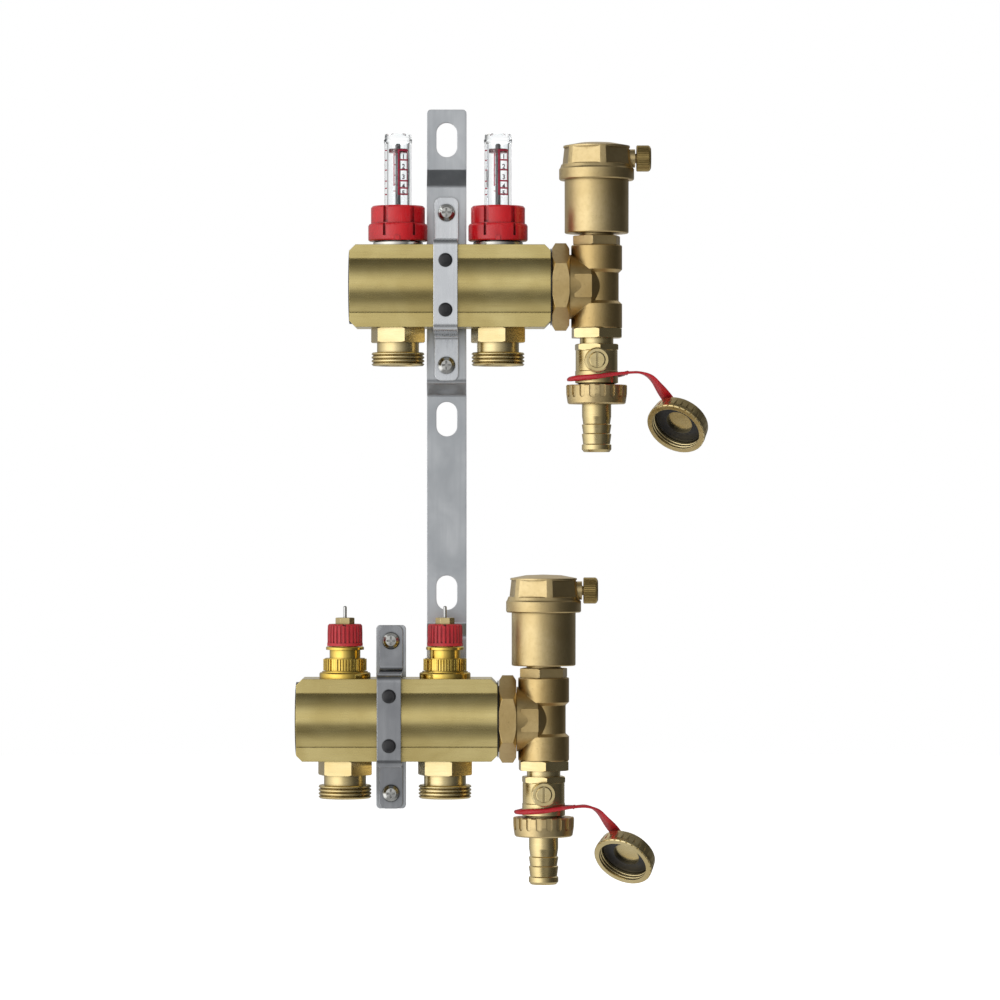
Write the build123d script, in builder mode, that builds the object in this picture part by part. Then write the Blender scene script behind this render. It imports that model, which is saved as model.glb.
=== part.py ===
from build123d import *
from math import cos, radians, sin
import os

# Underfloor heating manifold, two circuits, all sizes in millimetres.
# +Z is up, +X is to the right, the wall is the plane Y = 0 and the manifold stands out along -Y.
# The origin is on the back face of the mounting strip, halfway between the two bars.

# ---------------------------------------------------------------- driving dimensions
BAR_Z = 108.0                 # height of the supply bar, the return bar is at -BAR_Z
BAR_Y = -32.5                 # depth of both bar axes
BAR_LENGTH = 100.0
BAR_RADIUS = 20.0             # round body of the extrusion
BAR_HEIGHT = 41.0             # across the flat rails
RAIL_DEPTH = 30.0             # front to back, on the flat rails
BAR_BORE = 13.2
PORT_BORE = 15.15             # G1 female, minor radius
PORT_DEPTH = 12.0
OUTLET_PITCH = 50.0
OUTLET_INSET = 23.8           # from the bar's left end to the first outlet
TAPPING_RADIUS = 10.4         # tappings above and below each outlet
SUPPLY_X = -47.8              # left end of the supply bar
RETURN_X = -74.3              # left end of the return bar, half a pitch to the left
TEE_OFFSET = 123.1            # from a bar's left end to the axis of its end tee
SLEEVE_RADIUS = 16.5          # threaded sleeve of a union nut, in the bar's right end

STRIP_WIDTH = 20.0
STRIP_THICK = 2.0
STRIP_TOP = 199.4
STRIP_BOTTOM = -123.0
SUPPLY_STANDOFF = 8.0         # the strip's step forward behind the supply bar
RETURN_STANDOFF = 6.0         # and behind the return bar, where the lower plate lies on it
SLOT_WIDTH = 10.5
SLOT_LENGTH = 17.5
SLOT_HEIGHTS = (184.0, 42.5, -45.5)

CLAMP_HALF = 46.3             # half the length of a clamp strap
CLAMP_SCREW = 38.5            # screws above and below the bar axis
CLAMP_PLUG = 12.3             # rubber plugs above and below the bar axis
STRAP_WIDTH = 12.0
STRAP_THICK = 1.5
SUPPLY_CLAMP_X = 0.0
RETURN_CLAMP_X = -28.0
PLATE_FACE_Y = -10.0          # front of strip and plate, where the straps sit
LOWER_PLATE_WIDTH = 15.0

BALL_ABOVE = -36.85           # drain ball centre, from the tee axis

SUPPLY_OUTLETS = [SUPPLY_X + OUTLET_INSET + k * OUTLET_PITCH for k in range(2)]
RETURN_OUTLETS = [RETURN_X + OUTLET_INSET + k * OUTLET_PITCH for k in range(2)]
BAR_TOP = BAR_HEIGHT / 2
UPPER_TEE = (SUPPLY_X + TEE_OFFSET, BAR_Y, BAR_Z)
LOWER_TEE = (RETURN_X + TEE_OFFSET, BAR_Y, -BAR_Z)
TEES = {"upper": UPPER_TEE, "lower": LOWER_TEE}
FROM_PLANE = (Align.CENTER, Align.CENTER, Align.MIN)

os.makedirs("parts", exist_ok=True)


# ---------------------------------------------------------------- shared shapes
def turned(profile, plane=Plane.XZ, axis=Axis.Z):
    """A lathe-turned solid: the profile's first number is the radius on XZ, and the station on X."""
    with BuildPart() as lathe:
        with BuildSketch(plane):
            with BuildLine():
                Polyline(*profile, close=True)
            make_face()
        revolve(axis=axis)
    return lathe.part


def washer(inner, outer, low, high):
    """A plain ring about Z between two heights."""
    return turned([(inner, low), (outer, low), (outer, high), (inner, high)])


def hexagon(corner, low, high, turn=0.0, bevel=0.8):
    """A hexagonal prism about Z with turned bevels on its corners."""
    with BuildPart() as prism:
        with BuildSketch(Plane.XY.offset(low)):
            RegularPolygon(corner, 6, rotation=turn)
        extrude(amount=high - low)
        blank = [
            (0, low), (corner - bevel, low), (corner + 0.1, low + bevel * 0.65),
            (corner + 0.1, high - bevel * 0.65), (corner - bevel, high), (0, high),
        ]
        add(turned(blank), mode=Mode.INTERSECT)
    return prism.part


def threads(major, low, high, pitch, depth):
    """Ring grooves that read as a male thread: a stack of V cutters about Z."""
    with BuildPart() as cutters:
        count = int((high - low) / pitch)
        for k in range(count):
            middle = low + (k + 0.5) * pitch
            groove = [
                (major + 0.5, middle - pitch * 0.42), (major + 0.5, middle + pitch * 0.42),
                (major, middle + pitch * 0.32), (major - depth, middle),
                (major, middle - pitch * 0.32),
            ]
            add(turned(groove))
    return cutters.part


def fluted(radius, depth, count, low, high, share=0.5):
    """A prism about Z with straight flutes cut into its wall, as a knurl or a grip."""
    points = []
    for k in range(count):
        for fraction, reach in ((0.0, 0), (share, 0), (share + 0.14, depth), (0.86, depth)):
            angle = radians((k + fraction) * 360 / count)
            points.append(((radius - reach) * cos(angle), (radius - reach) * sin(angle)))
    with BuildPart() as prism:
        with BuildSketch(Plane.XY.offset(low)):
            with BuildLine():
                Polyline(*points, close=True)
            make_face()
        extrude(amount=high - low)
    return prism.part


def spring(radius, wire, low, high, turns):
    """A round-wire compression spring about Z."""
    with BuildPart() as coil:
        with BuildLine():
            path = Helix(pitch=(high - low) / turns, height=high - low, radius=radius, center=(0, 0, low))
        with BuildSketch(Plane(origin=path @ 0, z_dir=path % 0)):
            Circle(wire)
        sweep()
    return coil.part


def finish(builder, name):
    """Labels a finished piece and writes its STEP file."""
    builder.part.label = name
    export_step(builder.part, f"parts/{name}.step")


def place(name, shape, places):
    """Writes one node: the shape repeated at each place, as separate solids."""
    with BuildPart() as node:
        with Locations(*places):
            add(shape)
    finish(node, name)


# ---------------------------------------------------------------- mounting strip and lower plate
def bent_strip(path, width, x_centre, bend):
    """Flat bar of STRIP_THICK bent along a path of (y, z) points."""
    with BuildPart() as bent:
        with BuildSketch(Plane.YZ.offset(x_centre - width / 2)):
            with BuildLine():
                FilletPolyline(*path, radius=bend)
            trace(line_width=STRIP_THICK)
        extrude(amount=width)
    return bent.part


def slot_cutter(x, z):
    with BuildPart() as cutter:
        with BuildSketch(Plane.XZ):
            with Locations((x, z)):
                SlotOverall(SLOT_LENGTH, SLOT_WIDTH, rotation=90)
        extrude(amount=20, both=True)
    return cutter.part


def outline(width, low, high, x_centre, corner):
    """A rounded rectangle seen from the front, thick enough to trim a bent piece."""
    with BuildPart() as block:
        with BuildSketch(Plane.XZ):
            with Locations((x_centre, (low + high) / 2)):
                RectangleRounded(width, high - low, corner)
        extrude(amount=70, both=True)
    return block.part


def hole_pair(x, z, radius):
    """Cutters for the two clamp screws about a bar's height."""
    with BuildPart() as cutters:
        with Locations((x, 0, z + CLAMP_SCREW), (x, 0, z - CLAMP_SCREW)):
            Cylinder(radius, 60, rotation=(90, 0, 0))
    return cutters.part


half = STRIP_THICK / 2
supply_y = -SUPPLY_STANDOFF - half
return_y = -RETURN_STANDOFF - half
strip_path = [
    (-half, STRIP_TOP), (-half, 168.5), (supply_y, 159.5), (supply_y, 61.5),
    (-half, 55.0), (-half, -61.5), (return_y, -68.0), (return_y, STRIP_BOTTOM),
]
with BuildPart() as mounting_strip:
    add(bent_strip(strip_path, STRIP_WIDTH, SUPPLY_CLAMP_X, 2.5))
    add(outline(STRIP_WIDTH, STRIP_BOTTOM, STRIP_TOP, SUPPLY_CLAMP_X, 2.0), mode=Mode.INTERSECT)
    for slot_height in SLOT_HEIGHTS:
        add(slot_cutter(SUPPLY_CLAMP_X, slot_height), mode=Mode.SUBTRACT)
    add(hole_pair(SUPPLY_CLAMP_X, BAR_Z, 2.6), mode=Mode.SUBTRACT)
    with Locations((SUPPLY_CLAMP_X, 0, -BAR_Z + 6), (SUPPLY_CLAMP_X, 0, -BAR_Z - 6)):
        Cylinder(2.1, 60, rotation=(90, 0, 0), mode=Mode.SUBTRACT)
finish(mounting_strip, "mounting_strip")

PLATE_BACK_Y = PLATE_FACE_Y + STRIP_THICK
with BuildPart() as offset_plate:
    with BuildSketch(Plane.XZ.offset(-PLATE_BACK_Y)):
        with Locations((RETURN_CLAMP_X, -BAR_Z)):
            RectangleRounded(LOWER_PLATE_WIDTH, 2 * CLAMP_HALF, 2.0)
        lug_left = RETURN_CLAMP_X
        lug_right = STRIP_WIDTH / 2
        with Locations(((lug_left + lug_right) / 2, -BAR_Z)):
            Rectangle(lug_right - lug_left, 24.0)
    extrude(amount=STRIP_THICK)
    add(hole_pair(RETURN_CLAMP_X, -BAR_Z, 2.6), mode=Mode.SUBTRACT)
    with Locations((SUPPLY_CLAMP_X, 0, -BAR_Z + 6), (SUPPLY_CLAMP_X, 0, -BAR_Z - 6)):
        Cylinder(2.1, 60, rotation=(90, 0, 0), mode=Mode.SUBTRACT)
finish(offset_plate, "offset_plate")

rivet = turned(
    [(0, -5.5), (3.4, -5.5), (3.4, -4.7), (2.1, -4.4), (2.1, 0), (3.9, 0), (3.2, 0.9), (1.6, 1.2), (0, 1.2)]
)
with BuildPart() as offset_rivets:
    for rise in (-6, 6):
        with Locations(Location((SUPPLY_CLAMP_X, PLATE_FACE_Y, -BAR_Z + rise), (90, 0, 0))):
            add(rivet)
finish(offset_rivets, "offset_rivets")


# ---------------------------------------------------------------- clamps
def clamp_strap():
    """Hat-shaped strap over a bar, centred on x = 0, z = 0, with room for screws and plugs."""
    tab_y = PLATE_FACE_Y - STRAP_THICK / 2
    front_y = BAR_Y - BAR_RADIUS - 1.2 - STRAP_THICK / 2
    leg = BAR_TOP + 1.2 + STRAP_THICK / 2
    path = [
        (tab_y, CLAMP_HALF), (tab_y, leg), (front_y, leg),
        (front_y, -leg), (tab_y, -leg), (tab_y, -CLAMP_HALF),
    ]
    with BuildPart() as strap:
        with BuildSketch(Plane.YZ.offset(-STRAP_WIDTH / 2)):
            with BuildLine():
                FilletPolyline(*path, radius=3.2)
            trace(line_width=STRAP_THICK)
        extrude(amount=STRAP_WIDTH)
        add(outline(STRAP_WIDTH, -CLAMP_HALF, CLAMP_HALF, 0, 3.4), mode=Mode.INTERSECT)
        with Locations((0, PLATE_FACE_Y, CLAMP_SCREW), (0, PLATE_FACE_Y, -CLAMP_SCREW)):
            Cylinder(2.6, 10, rotation=(90, 0, 0), mode=Mode.SUBTRACT)
        with Locations((0, front_y, CLAMP_PLUG), (0, front_y, -CLAMP_PLUG)):
            Cylinder(2.5, 6, rotation=(90, 0, 0), mode=Mode.SUBTRACT)
    return strap.part


def clamp_screw():
    """Cross-recess pan-head screw, axis Z, the seat under its head at z = 0, the shank below."""
    profile = [
        (0, -10.0), (2.0, -10.0), (2.45, -9.4), (2.45, 0), (4.4, 0), (4.4, 1.0), (3.9, 2.1), (2.6, 2.7),
        (0, 2.9),
    ]
    with BuildPart() as screw:
        add(turned(profile))
        with Locations((0, 0, 2.3)):
            Box(4.4, 0.95, 2.2, mode=Mode.SUBTRACT)
            Box(0.95, 4.4, 2.2, mode=Mode.SUBTRACT)
    return screw.part


def clamp_nut():
    """Hexagon nut on the screw's thread, axis Z, its face at z = 0."""
    with BuildPart() as nut:
        add(hexagon(4.6, -4.0, 0))
        Cylinder(2.46, 20, mode=Mode.SUBTRACT)
    return nut.part


def clamp_plug():
    """Rubber buffer through the strap: domed head outside, nose on the bar; strap face at z = 0."""
    nose = 4.6
    profile = [
        (0, -STRAP_THICK - nose), (3.6, -STRAP_THICK - nose), (3.9, -STRAP_THICK), (2.5, -STRAP_THICK),
        (2.5, 0), (3.5, 0), (3.4, 0.6), (2.6, 1.1), (1.2, 1.35), (0, 1.4),
    ]
    return turned(profile)


CLAMPS = ((SUPPLY_CLAMP_X, BAR_Z), (RETURN_CLAMP_X, -BAR_Z))
STRAP_FRONT_Y = BAR_Y - BAR_RADIUS - 1.2 - STRAP_THICK
strap_shape = clamp_strap()
place("upper_clamp_strap", strap_shape, [(SUPPLY_CLAMP_X, 0, BAR_Z)])
place("lower_clamp_strap", strap_shape, [(RETURN_CLAMP_X, 0, -BAR_Z)])


def facing(x, y, z):
    """A place whose own Z points at the viewer, along -Y."""
    return Location((x, y, z), (90, 0, 0))


screw_spots = [
    facing(x, PLATE_FACE_Y - STRAP_THICK, z + rise) for x, z in CLAMPS for rise in (CLAMP_SCREW, -CLAMP_SCREW)
]
place("clamp_screws", clamp_screw(), screw_spots)
place("clamp_nuts", clamp_nut(), [spot * Pos(0, 0, -STRAP_THICK - STRIP_THICK) for spot in screw_spots])

with BuildPart() as clamp_plugs:
    for clamp_x, clamp_z in CLAMPS:
        holes = [facing(clamp_x, STRAP_FRONT_Y, clamp_z + rise) for rise in (CLAMP_PLUG, -CLAMP_PLUG)]
        with Locations(*holes):
            add(clamp_plug())
        with Locations((clamp_x, BAR_Y, clamp_z)):
            Cylinder(BAR_RADIUS, 40, rotation=(0, 90, 0), mode=Mode.SUBTRACT)
finish(clamp_plugs, "clamp_plugs")

with BuildPart() as rear_pads:
    for clamp_x, clamp_z in CLAMPS:
        with Locations((clamp_x, PLATE_FACE_Y - 2.5, clamp_z)):
            Box(STRAP_WIDTH, 5.0, 30.0)
        with Locations((clamp_x, BAR_Y, clamp_z)):
            Cylinder(BAR_RADIUS, 40, rotation=(0, 90, 0), mode=Mode.SUBTRACT)
finish(rear_pads, "rear_pads")


# ---------------------------------------------------------------- bars
def manifold_bar():
    """Extruded bar from its left end at x = 0: round body, flat rails, bore, ports and tappings."""
    with BuildPart() as bar:
        with BuildSketch(Plane.YZ):
            Circle(BAR_RADIUS)
            Rectangle(RAIL_DEPTH, BAR_HEIGHT)
            with GridLocations(RAIL_DEPTH + 0.4, 26.6, 2, 2):
                Rectangle(1.4, 0.5, mode=Mode.SUBTRACT)
        extrude(amount=BAR_LENGTH)
        rails = bar.edges().filter_by(Axis.Y)
        chamfer(rails.group_by(Axis.Z)[0] + rails.group_by(Axis.Z)[-1], 3.0)
        with Locations((BAR_LENGTH / 2, 0, 0)):
            Cylinder(BAR_BORE, BAR_LENGTH + 2, rotation=(0, 90, 0), mode=Mode.SUBTRACT)
        with Locations((PORT_DEPTH / 2, 0, 0)):
            Cylinder(PORT_BORE, PORT_DEPTH, rotation=(0, 90, 0), mode=Mode.SUBTRACT)
        with Locations((BAR_LENGTH - 6.0, 0, 0)):
            Cylinder(SLEEVE_RADIUS + 0.1, 12.0, rotation=(0, 90, 0), mode=Mode.SUBTRACT)
        add(
            turned([(-1, 16.3), (1.5, 16.3), (1.5, 18.7), (-1, 18.7)], Plane.XZ, Axis.X),
            mode=Mode.SUBTRACT,
        )
        with Locations((OUTLET_INSET, 0, 0), (OUTLET_INSET + OUTLET_PITCH, 0, 0)):
            Cylinder(TAPPING_RADIUS, BAR_HEIGHT + 2, mode=Mode.SUBTRACT)
    return bar.part


bar_shape = manifold_bar()
place("supply_bar", bar_shape, [(SUPPLY_X, BAR_Y, BAR_Z)])
place("return_bar", bar_shape, [(RETURN_X, BAR_Y, -BAR_Z)])

SEAL_GAP = 0.6
with BuildPart() as bar_seals:
    left_seal = turned([(-0.5, 16.5), (1.4, 16.5), (1.4, 18.5), (-0.5, 18.5)], Plane.XZ, Axis.X)
    right_seal = turned([(0, 16.8), (SEAL_GAP, 16.8), (SEAL_GAP, 19.2), (0, 19.2)], Plane.XZ, Axis.X)
    for bar_x, bar_z in ((SUPPLY_X, BAR_Z), (RETURN_X, -BAR_Z)):
        with Locations((bar_x, BAR_Y, bar_z)):
            add(left_seal)
        with Locations((bar_x + BAR_LENGTH, BAR_Y, bar_z)):
            add(right_seal)
finish(bar_seals, "bar_seals")


# ---------------------------------------------------------------- outlet nipples
def outlet_nipple():
    """Outlet nipple under a bar, z = 0 on the bar's underside, G3/4 male end below."""
    with BuildPart() as nipple:
        profile = [
            (8.0, 9.0), (10.3, 9.0), (10.3, 0), (11.5, 0), (11.5, -7.0), (10.5, -7.0), (10.5, -12.3),
            (12.6, -12.3), (13.2, -12.9), (13.2, -18.2), (12.5, -19.0), (9.9, -19.0), (8.0, -15.0),
        ]
        add(turned(profile))
        add(hexagon(14.0, -7.4, 0, turn=-15.0))
        Cylinder(8.0, 60, mode=Mode.SUBTRACT)
        add(threads(13.2, -18.4, -12.9, 1.81, 0.9), mode=Mode.SUBTRACT)
        add(washer(10.3, 11.6, -1.2, 0.5), mode=Mode.SUBTRACT)
    return nipple.part


outlet_spots = [(x, BAR_Y, BAR_Z - BAR_TOP) for x in SUPPLY_OUTLETS]
outlet_spots += [(x, BAR_Y, -BAR_Z - BAR_TOP) for x in RETURN_OUTLETS]
place("outlet_nipples", outlet_nipple(), outlet_spots)
place("nipple_orings", washer(10.35, 11.5, -1.1, 0), outlet_spots)


# ---------------------------------------------------------------- flow meters, on the supply bar
def flowmeter_seat():
    """Nickel-plated seat, z = 0 on the bar's top: stem in the bar, flange, sleeve for the tube."""
    return turned(
        [
            (1.4, -9.0), (10.3, -9.0), (10.3, 0), (12.4, 0), (12.4, 1.6), (11.9, 2.0), (9.4, 2.0),
            (9.4, 15.5), (6.75, 15.5), (6.75, 12.0), (5.0, 12.0), (5.0, -8.0), (1.4, -8.0),
        ]
    )


def sight_tube():
    """Clear tube with a solid rimmed top."""
    return turned(
        [
            (5.0, 12.0), (6.7, 12.0), (6.7, 51.2), (7.0, 51.6), (7.0, 53.0), (6.7, 53.4), (6.6, 55.4),
            (6.2, 55.8), (3.6, 55.8), (3.2, 54.9), (0, 54.9), (0, 51.8), (5.0, 51.8),
        ]
    )


def regulating_collar():
    """Red grip ring of a flow meter: two steps, six slots, and a web that closes round the tube."""
    with BuildPart() as collar:
        add(
            turned(
                [
                    (9.65, 2.3), (14.3, 2.3), (14.85, 2.9), (14.85, 9.9), (14.3, 10.8), (13.5, 11.0),
                    (13.5, 18.9), (12.7, 19.8), (7.0, 19.8), (7.0, 16.2), (9.65, 16.2),
                ]
            )
        )
        with PolarLocations(13.6, 6, start_angle=4):
            with Locations((0, 0, 15.6)):
                Box(3.4, 2.6, 8.6, mode=Mode.SUBTRACT)
        with PolarLocations(14.9, 6, start_angle=4):
            with Locations((0, 0, 8.2)):
                Box(3.0, 1.5, 7.0, mode=Mode.SUBTRACT)
        with Locations((0, -14.7, 3.4)):
            Box(2.2, 1.4, 2.0)
    return collar.part


def indicator_rod():
    """Rod with the flow disc at its foot, a spring collar and the flat float disc in the tube."""
    return turned(
        [
            (0, -29.5), (6.8, -29.5), (6.8, -28.0), (1.15, -27.0), (1.15, 17.2), (3.9, 17.2), (3.9, 18.2),
            (1.3, 18.2), (1.3, 46.5), (4.6, 46.5), (4.6, 48.4), (1.3, 48.4), (1.3, 50.6), (0.9, 51.0),
            (0, 51.0),
        ]
    )


FLOWMETERS = [(x, BAR_Y, BAR_Z + BAR_TOP) for x in SUPPLY_OUTLETS]
place("flowmeter_seats", flowmeter_seat(), FLOWMETERS)
place("sight_tubes", sight_tube(), FLOWMETERS)
for number, spot in enumerate(FLOWMETERS, start=1):
    place(f"regulating_collar_{number}", regulating_collar(), [spot])
    place(f"indicator_rod_{number}", indicator_rod(), [spot])


# ---------------------------------------------------------------- valve inserts, on the return bar
def insert_body():
    """Valve insert, z = 0 on the bar's top: stem in the bar, stepped flange, toothed ring, neck."""
    with BuildPart() as body:
        profile = [
            (4.4, -9.5), (10.3, -9.5), (10.3, 0), (12.8, 0), (12.8, 2.3), (12.3, 2.9), (11.4, 3.0),
            (11.4, 3.5),
            (9.9, 3.5), (9.9, 10.0), (7.7, 10.0), (7.7, 14.0), (9.5, 14.2), (9.5, 15.4), (9.1, 15.8),
            (6.2, 15.8), (6.2, 24.0), (3.0, 24.0), (3.0, 20.0), (4.4, 20.0), (4.4, 5.6), (1.4, 5.6),
            (1.4, 4.4), (4.4, 4.4),
        ]
        add(turned(profile))
        teeth = fluted(10.95, 0.9, 48, 3.9, 9.6)
        with BuildPart(mode=Mode.PRIVATE) as ring:
            add(teeth)
            with PolarLocations(12.2, 6):
                with Locations((0, 0, 7)):
                    Box(4.2, 3.6, 8.0, mode=Mode.SUBTRACT)
            Cylinder(9.8, 40, mode=Mode.SUBTRACT)
        add(ring.part)
    return body.part


def gland_nut():
    """Brass gland nut in the top of an insert, its hexagon standing out round the spindle."""
    with BuildPart() as nut:
        add(turned([(0.97, 20.1), (2.95, 20.1), (2.95, 24.0), (4.5, 24.0), (4.5, 27.0), (0.97, 27.0)]))
        add(hexagon(4.75, 26.9, 30.2, bevel=0.4))
        Cylinder(0.97, 100, mode=Mode.SUBTRACT)
    return nut.part


def preset_ring():
    """Red fluted presetting ring round the insert's stem."""
    with BuildPart() as ring:
        add(fluted(8.75, 0.55, 26, 16.1, 27.0))
        cone = [(0, 16.0), (9.0, 16.0), (9.0, 17.4), (8.6, 26.2), (7.9, 27.1), (0, 27.1)]
        add(turned(cone), mode=Mode.INTERSECT)
        add(washer(6.6, 8.9, 16.1, 17.6))
        add(turned([(0, 15), (6.5, 15), (6.5, 24.4), (5.0, 24.4), (5.0, 28), (0, 28)]), mode=Mode.SUBTRACT)
        with Locations((0, -7.6, 26.6)):
            Box(1.4, 1.8, 1.2, mode=Mode.SUBTRACT)
    return ring.part


def valve_spindle():
    """Steel pin through the gland, spring collar, and the valve cone over the outlet seat."""
    return turned(
        [
            (0, -30.0), (6.6, -30.0), (7.4, -29.3), (7.4, -28.0), (5.0, -27.0), (1.2, -26.6), (0.9, -26.0),
            (0.9, 16.6), (3.9, 16.6), (3.9, 17.6), (0.9, 17.6), (0.9, 35.6), (0.5, 36.0), (0, 36.0),
        ]
    )


INSERTS = [(x, BAR_Y, -BAR_Z + BAR_TOP) for x in RETURN_OUTLETS]
place("insert_bodies", insert_body(), INSERTS)
place("gland_nuts", gland_nut(), INSERTS)
for number, spot in enumerate(INSERTS, start=1):
    place(f"preset_ring_{number}", preset_ring(), [spot])
    place(f"valve_spindle_{number}", valve_spindle(), [spot])

SPRING_TURNS = 6
for number, (meter, insert) in enumerate(zip(FLOWMETERS, INSERTS), start=1):
    place(f"flowmeter_spring_{number}", spring(3.0, 0.3, -7.6, 16.8, SPRING_TURNS), [meter])
    place(f"insert_spring_{number}", spring(3.0, 0.4, 6.1, 16.1, SPRING_TURNS), [insert])


# ---------------------------------------------------------------- end tees with their swivel nuts
NUT_LEFT = -22.3              # left face of the nut, from the tee axis
NUT_LENGTH = 8.6
SPIGOT = 13.0                 # tee tail inside the nut
SOCKET = 12.75
TEE_HALF = 20.75


def end_tee():
    """Forged tee about its own axis crossing: two sockets, a waist, a branch with a plain pad, a tail."""
    with BuildPart() as tee:
        waist = 11.05
        sockets = [
            (0, -TEE_HALF), (SOCKET - 0.3, -TEE_HALF), (SOCKET, -TEE_HALF + 0.5), (SOCKET, -8.6),
            (waist, -7.0),
            (waist, 7.0), (SOCKET, 8.6), (SOCKET, TEE_HALF - 0.5), (SOCKET - 0.3, TEE_HALF), (0, TEE_HALF),
        ]
        add(turned(sockets))
        nut_right = NUT_LEFT + NUT_LENGTH
        branch = [
            (NUT_LEFT - 10.6, 0), (NUT_LEFT - 10.6, SPIGOT + 0.9), (NUT_LEFT - 9.6, SPIGOT + 0.9),
            (NUT_LEFT - 9.6, SPIGOT), (nut_right + 0.15, SPIGOT), (nut_right + 0.15, 16.2),
            (-3.0, 14.7), (1.8, 10.6), (1.8, 0),
        ]
        add(turned(branch, Plane.XZ, Axis.X))
        with BuildSketch(Plane.XZ.offset(15.4)):
            with Locations((-7.0, 0)):
                RectangleRounded(8.8, 11.8, 0.8)
        extrude(amount=-8)
        Cylinder(9.2, 60, mode=Mode.SUBTRACT)
        with Locations((NUT_LEFT, 0, 0)):
            Cylinder(10.5, 44, rotation=(0, 90, 0), mode=Mode.SUBTRACT)
    return tee.part


def union_nut():
    """Swivel nut captive on the tee's tail: hexagon outside, male sleeve that screws into the bar."""
    with BuildPart() as nut:
        add(hexagon(21.9, 0, NUT_LENGTH, turn=0.0, bevel=2.6))
        Cylinder(SLEEVE_RADIUS, 9.4, align=(Align.CENTER, Align.CENTER, Align.MAX))
        Cylinder(SPIGOT + 0.06, 60, mode=Mode.SUBTRACT)
    return nut.part


place("end_tees", end_tee(), [UPPER_TEE, LOWER_TEE])
for side, centre in TEES.items():
    nut_place = Location(centre) * Location((NUT_LEFT, 0, 0), (0, 90, 0))
    place(f"union_nut_{side}", union_nut(), [nut_place])


# ---------------------------------------------------------------- automatic air vents
VENT_BASE = TEE_HALF + 6.0
VENT_RIM = VENT_BASE + 31.4
SKIRT_LOW = VENT_BASE + 26.6
SKIRT_HIGH = SKIRT_LOW + 6.2
CAP_SHOULDER = SKIRT_HIGH + 10.9
CAP_TOP = CAP_SHOULDER + 1.8
KNOB_HEIGHT = SKIRT_HIGH + 4.7
FLOAT_TRAVEL = 5.0


def vent_body():
    """Vent pot: hexagon and threaded stub into the tee, cup above."""
    with BuildPart() as body:
        add(
            turned(
                [
                    (4.5, TEE_HALF - 9), (9.1, TEE_HALF - 9), (9.1, VENT_BASE - 1.0), (8.6, VENT_BASE - 1.0),
                    (8.6, VENT_BASE), (15.6, VENT_BASE), (16.0, VENT_BASE + 0.5), (16.05, VENT_RIM),
                    (14.4, VENT_RIM), (14.4, VENT_BASE + 2.4), (4.5, VENT_BASE + 2.4),
                ]
            )
        )
        add(hexagon(12.6, TEE_HALF + 0.05, TEE_HALF + 4.7, turn=20.0, bevel=0.7))
        Cylinder(4.5, 200, mode=Mode.SUBTRACT)
    return body.part


def vent_cap():
    """Screwed cap: turned skirt, hexagon flats on a coned crown, side outlet for the knob."""
    with BuildPart() as cap:
        with BuildSketch(Plane.XY.offset(SKIRT_HIGH + 0.9)):
            RegularPolygon(16.1, 6, major_radius=False, rotation=39.5)
        extrude(amount=CAP_TOP - SKIRT_HIGH, taper=6.0)
        crown = [
            (0, SKIRT_LOW), (18.3, SKIRT_LOW), (18.75, SKIRT_LOW + 0.6), (18.75, SKIRT_HIGH - 0.8),
            (18.2, SKIRT_HIGH), (17.7, SKIRT_HIGH + 1.5), (16.6, CAP_SHOULDER), (9.0, CAP_TOP - 0.35),
            (0, CAP_TOP),
        ]
        add(turned(crown), mode=Mode.INTERSECT)
        skirt = [
            (0, SKIRT_LOW), (18.3, SKIRT_LOW), (18.75, SKIRT_LOW + 0.6), (18.75, SKIRT_HIGH - 0.8),
            (18.2, SKIRT_HIGH), (17.7, SKIRT_HIGH + 1.5), (16.9, SKIRT_HIGH + 1.8), (0, SKIRT_HIGH + 1.8),
        ]
        add(turned(skirt))
        shoulder = [
            (0, CAP_SHOULDER - 0.9), (16.7, CAP_SHOULDER - 0.9), (16.6, CAP_SHOULDER), (9.0, CAP_TOP - 0.35),
            (0, CAP_TOP),
        ]
        add(turned(shoulder))
        with Locations(Location((15.0, 0, KNOB_HEIGHT), (0, 90, 0))):
            Cylinder(4.6, 4.2, align=FROM_PLANE)
            Cylinder(2.4, 9.0, align=FROM_PLANE)
        hollow = [
            (0, SKIRT_LOW - 1), (16.2, SKIRT_LOW - 1), (16.2, VENT_RIM + 1.4), (13.5, VENT_RIM + 1.4),
            (13.5, CAP_SHOULDER - 3.0), (0, CAP_SHOULDER - 3.0),
        ]
        add(turned(hollow), mode=Mode.SUBTRACT)
        seat = [
            (1.3, CAP_SHOULDER - 8.0), (3.0, CAP_SHOULDER - 8.0), (3.6, CAP_SHOULDER - 2.8),
            (1.3, CAP_SHOULDER - 2.8),
        ]
        add(turned(seat))
    return cap.part


def vent_knob():
    """Knurled closing knob, axis Z, the open face towards the cap at z = 0."""
    with BuildPart() as knob:
        add(fluted(6.55, 0.35, 44, 0, 7.3))
        outline_profile = [(0, 0), (6.2, 0), (6.6, 0.4), (6.6, 5.9), (6.0, 6.8), (4.9, 7.3), (0, 7.3)]
        add(turned(outline_profile), mode=Mode.INTERSECT)
        Cylinder(2.5, 10.8, mode=Mode.SUBTRACT)
    return knob.part


def vent_float():
    """Hollow float, shown closed, with its needle under the vent seat."""
    return turned(
        [
            (0, VENT_BASE + 3.0), (12.0, VENT_BASE + 3.0), (12.6, VENT_BASE + 3.6), (12.6, VENT_BASE + 24.4),
            (12.0, VENT_BASE + 25.0), (0, VENT_BASE + 25.0),
        ]
    )


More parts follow.
